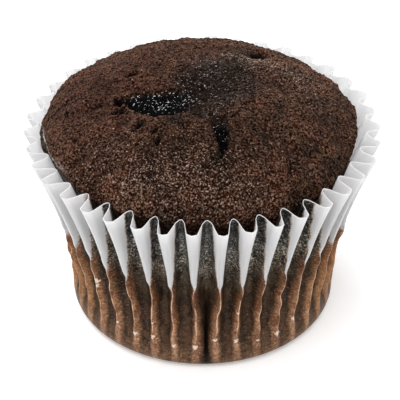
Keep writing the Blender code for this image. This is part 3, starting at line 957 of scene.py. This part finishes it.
def make_cake():
    x, y = dome_points()
    lowered, wet_and_pit_shade, sparkle, tear, tear_share = crust_features(x, y)
    top, top_facing = crust_points(x, y, lowered)
    lip, lip_facing, lip_quiet, degrees, lip_left = lip_rings()
    side, side_left = side_rings()
    columns, side_columns = lip.shape[1], side.shape[1]

    points = np.concatenate([top, lip.reshape(-1, 3)])
    facing = np.concatenate([top_facing, lip_facing.reshape(-1, 3)])
    quiet = np.concatenate([np.ones(len(top)), lip_quiet.ravel()])
    relief = crumb_relief(points)
    points = points + facing * (relief * quiet)[:, None]
    side_start = len(points)
    points = np.concatenate([points, side.reshape(-1, 3)])

    faces = dome_faces()
    faces += grid_faces(len(top) - columns, 1 + len(lip), columns, flip=True)
    # the side has half the columns of the lip
    low_lip = side_start - columns
    for step in range(side_columns):
        after = (step + 1) % side_columns
        a, b, c = low_lip + 2 * step, low_lip + 2 * step + 1, low_lip + (2 * step + 2) % columns
        p, q = side_start + step, side_start + after
        faces += [(a, p, b), (b, p, q), (b, q, c)]
    faces += grid_faces(side_start, len(side), side_columns, flip=True)
    faces.append(tuple(range(len(points) - side_columns, len(points))))
    made = mesh_object("chocolate_cake", points, faces)

    # Masks over the crust, then what the lip and the side add to them: the edge line shows at the
    # left only, and the wall is greasy there and low down.
    crust = crust_masks(x, y, top, wet_and_pit_shade, sparkle, tear, tear_share)
    masks = {name: np.zeros(len(points)) for name in (*crust, "wall", "hollow_shade")}
    masks["light_and_tone"][:] = 1.0
    for name, values in crust.items():
        masks[name][:len(top)] = values
    # the crumb's hollows are painted darker, as painted shade
    masks["hollow_shade"][:side_start] = np.clip(-relief / (0.45 * MM), 0, 1)
    masks["line"][len(top):len(top) + columns] = between(degrees, 271, 278, 294, 300)
    masks["wall"][len(top):side_start] = np.concatenate(
        [smooth_step(ring, -0.5, 1.0) * lip_left for ring in range(len(lip))])
    greasy = np.maximum(side_left, smooth_step(side[:, :, 2], 34 * MM, 29 * MM))
    masks["wall"][side_start:] = greasy.ravel()
    set_masks(made, masks)
    return made


def chocolate_sponge():
    """Baked cocoa crumb: dry and granular on the crust, with painted pale glints and painted shade
    in its hollows and pits, near black and moist in the torn middle, smooth and greasy on the side
    that shrank from the paper."""
    made, tree, shader = new_material("chocolate_sponge_baked")
    place = node(tree, "TexCoord", out="Object")
    wet_and_pit_shade, wall, rust_and_light, grey, sparkle, glint, hollow_shade, light_and_tone, edge_line = (
        node(tree, "Attribute", attribute_name=name, out="Fac")
        for name in ("wet_and_pit_shade", "wall", "rust_and_light", "grey", "sparkle", "glint", "hollow_shade", "light_and_tone", "line"))

    patches = node(tree, "TexNoise", {
        "Vector": place, "Scale": 1 / (5 * MM), "Detail": 3.0, "Roughness": 0.6})
    base = node(tree, "ValToRGB", {"Fac": patches}, stops=(
        (0.34, "#21130A"), (0.50, "#362013"), (0.66, "#46291B")))
    damp = node(tree, "ValToRGB", {"Fac": patches}, stops=(
        (0.36, "#0E0C0B"), (0.50, "#1A1817"), (0.64, "#302C2B")))
    # damp grey crumb, rusty brown crumb that at the left is also painted lighter as painted light,
    # and the greasy side
    for mask, over in ((grey, damp), (rust_and_light, linear("#412419")), (wall, linear("#2E251D"))):
        base = node(tree, "Mix", {"Factor": mask, "A": base, "B": over}, data_type="RGBA")
    # Granules of crumb, a quarter to half a millimetre: each catches the light or sits in shade.
    grain = node(tree, "TexNoise", {
        "Vector": place, "Scale": 1 / (0.38 * MM), "Detail": 1.0, "Roughness": 0.5,
        "Distortion": 0.6})
    light = node(tree, "MapRange", {
        "Value": grain, "From Min": 0.39, "From Max": 0.61, "To Min": 0.10, "To Max": 2.0})
    # between the bright strokes of the front the crumb is darker and more even
    dim = node(tree, "MapRange", {"Value": glint, "To Min": 1.0, "To Max": 0.54})
    even = node(tree, "MapRange", {"Value": glint, "To Min": 0.0, "To Max": 0.17})
    light = node(tree, "Math", {0: light, 1: dim, 2: even}, operation="MULTIPLY_ADD")
    # brighter and darker by the painted light and shade laid over the crust
    light = node(tree, "Math", {0: light, 1: light_and_tone}, operation="MULTIPLY")
    base = node(tree, "VectorMath", {0: base, "Scale": light}, operation="SCALE")
    # the lit tops of the granules are painted paler and greyer, a painted highlight with a dusty
    # cast, and the painted shade between them a deeper brown
    tint = node(tree, "ValToRGB", {"Fac": grain}, stops=(
        (0.38, "#FFD09C"), (0.50, "#FFFFFF")))
    base = node(tree, "Mix", {
        "Factor": 1.0, "A": base, "B": tint}, data_type="RGBA", blend_type="MULTIPLY")
    dusty_highlight = node(tree, "MapRange", {
        "Value": grain, "From Min": 0.50, "From Max": 0.62, "To Max": 0.17})
    less_dust_and_highlight = node(tree, "MapRange", {"Value": grey, "To Min": 1.0, "To Max": 0.5})
    dusty_highlight = node(tree, "Math", {0: dusty_highlight, 1: less_dust_and_highlight}, operation="MULTIPLY")
    dusty_highlight = node(tree, "Math", {0: dusty_highlight, 1: light_and_tone}, operation="MULTIPLY")
    # painted shade in the hollows of the crumb
    painted_hollow_shade = node(tree, "Math", {0: hollow_shade, 1: 0.6}, operation="MULTIPLY")
    for mask, over in ((dusty_highlight, "#8F8177"), (painted_hollow_shade, "#150C08"), (wet_and_pit_shade, "#060505")):
        base = node(tree, "Mix", {"Factor": mask, "A": base, "B": linear(over)}, data_type="RGBA")
    # Short bright strokes, painted glints of light on the crumb: the thin seams of one noise,
    # broken up by another. They crowd at the front and in the tear.
    seam = node(tree, "TexNoise", {"Vector": place, "Scale": 1 / (0.50 * MM), "Detail": 0.0})
    seam = node(tree, "Math", {0: seam, 1: 0.5}, operation="SUBTRACT")
    seam = node(tree, "Math", {0: seam}, operation="ABSOLUTE")
    seam = node(tree, "MapRange", {"Value": seam, "From Min": 0.065, "From Max": 0.015})
    broken = node(tree, "TexNoise", {
        "Vector": place, "Scale": 1 / (0.38 * MM), "Detail": 1.0, "Roughness": 0.5})
    crowd = node(tree, "Math", {0: glint, 1: 0.19, 2: broken}, operation="MULTIPLY_ADD")
    crowd = node(tree, "Math", {0: patches, 1: 0.18, 2: crowd}, operation="MULTIPLY_ADD")
    broken = node(tree, "MapRange", {"Value": crowd, "From Min": 0.77, "From Max": 0.87})
    stroke = node(tree, "Math", {0: seam, 1: broken}, operation="MULTIPLY")
    cool = node(tree, "Math", {0: grey, 1: 0.3, 2: sparkle}, operation="MULTIPLY_ADD")
    bright = node(tree, "Mix", {
        "Factor": cool, "A": linear("#AC9484"), "B": linear("#E6E8EA")}, data_type="RGBA")
    # The edge of the crust shows at the left as a pale, greyish line.
    ragged = node(tree, "MapRange", {"Value": grain, "From Min": 0.35, "From Max": 0.55})
    edge_line = node(tree, "Math", {0: edge_line, 1: ragged}, operation="MULTIPLY")
    for mask, over in ((stroke, bright), (edge_line, linear("#B5AEA6"))):
        base = node(tree, "Mix", {"Factor": mask, "A": base, "B": over}, data_type="RGBA")
    # The wet crumb mirrors the room in its sparkles only, and has no dust. The dry dust of the
    # crust shows pale where it is seen edge on.
    slick = node(tree, "Math", {0: wet_and_pit_shade, 1: wall}, operation="MAXIMUM")
    rough = node(tree, "MapRange", {"Value": slick, "To Min": 0.80, "To Max": 0.38})
    shine = node(tree, "MapRange", {"Value": wet_and_pit_shade, "To Min": 0.03, "To Max": 0.02})
    dust = node(tree, "MapRange", {"Value": wet_and_pit_shade, "To Min": 0.12, "To Max": 0.0})
    fine = node(tree, "TexNoise", {
        "Vector": place, "Scale": 1 / (0.42 * MM), "Detail": 2.0, "Roughness": 0.6})
    bump = node(tree, "Bump", {"Height": fine, "Strength": 1.0, "Distance": 0.30 * MM})
    fill(tree, shader, {
        "Base Color": base, "Roughness": rough, "Normal": bump, "IOR": 1.45,
        "Specular IOR Level": shine, "Sheen Weight": dust, "Sheen Roughness": 0.45,
        "Sheen Tint": linear("#CCAE9C")})
    return made


cake = make_cake()
cake.data.materials.append(chocolate_sponge())
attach(cake, "root")
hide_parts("cake")
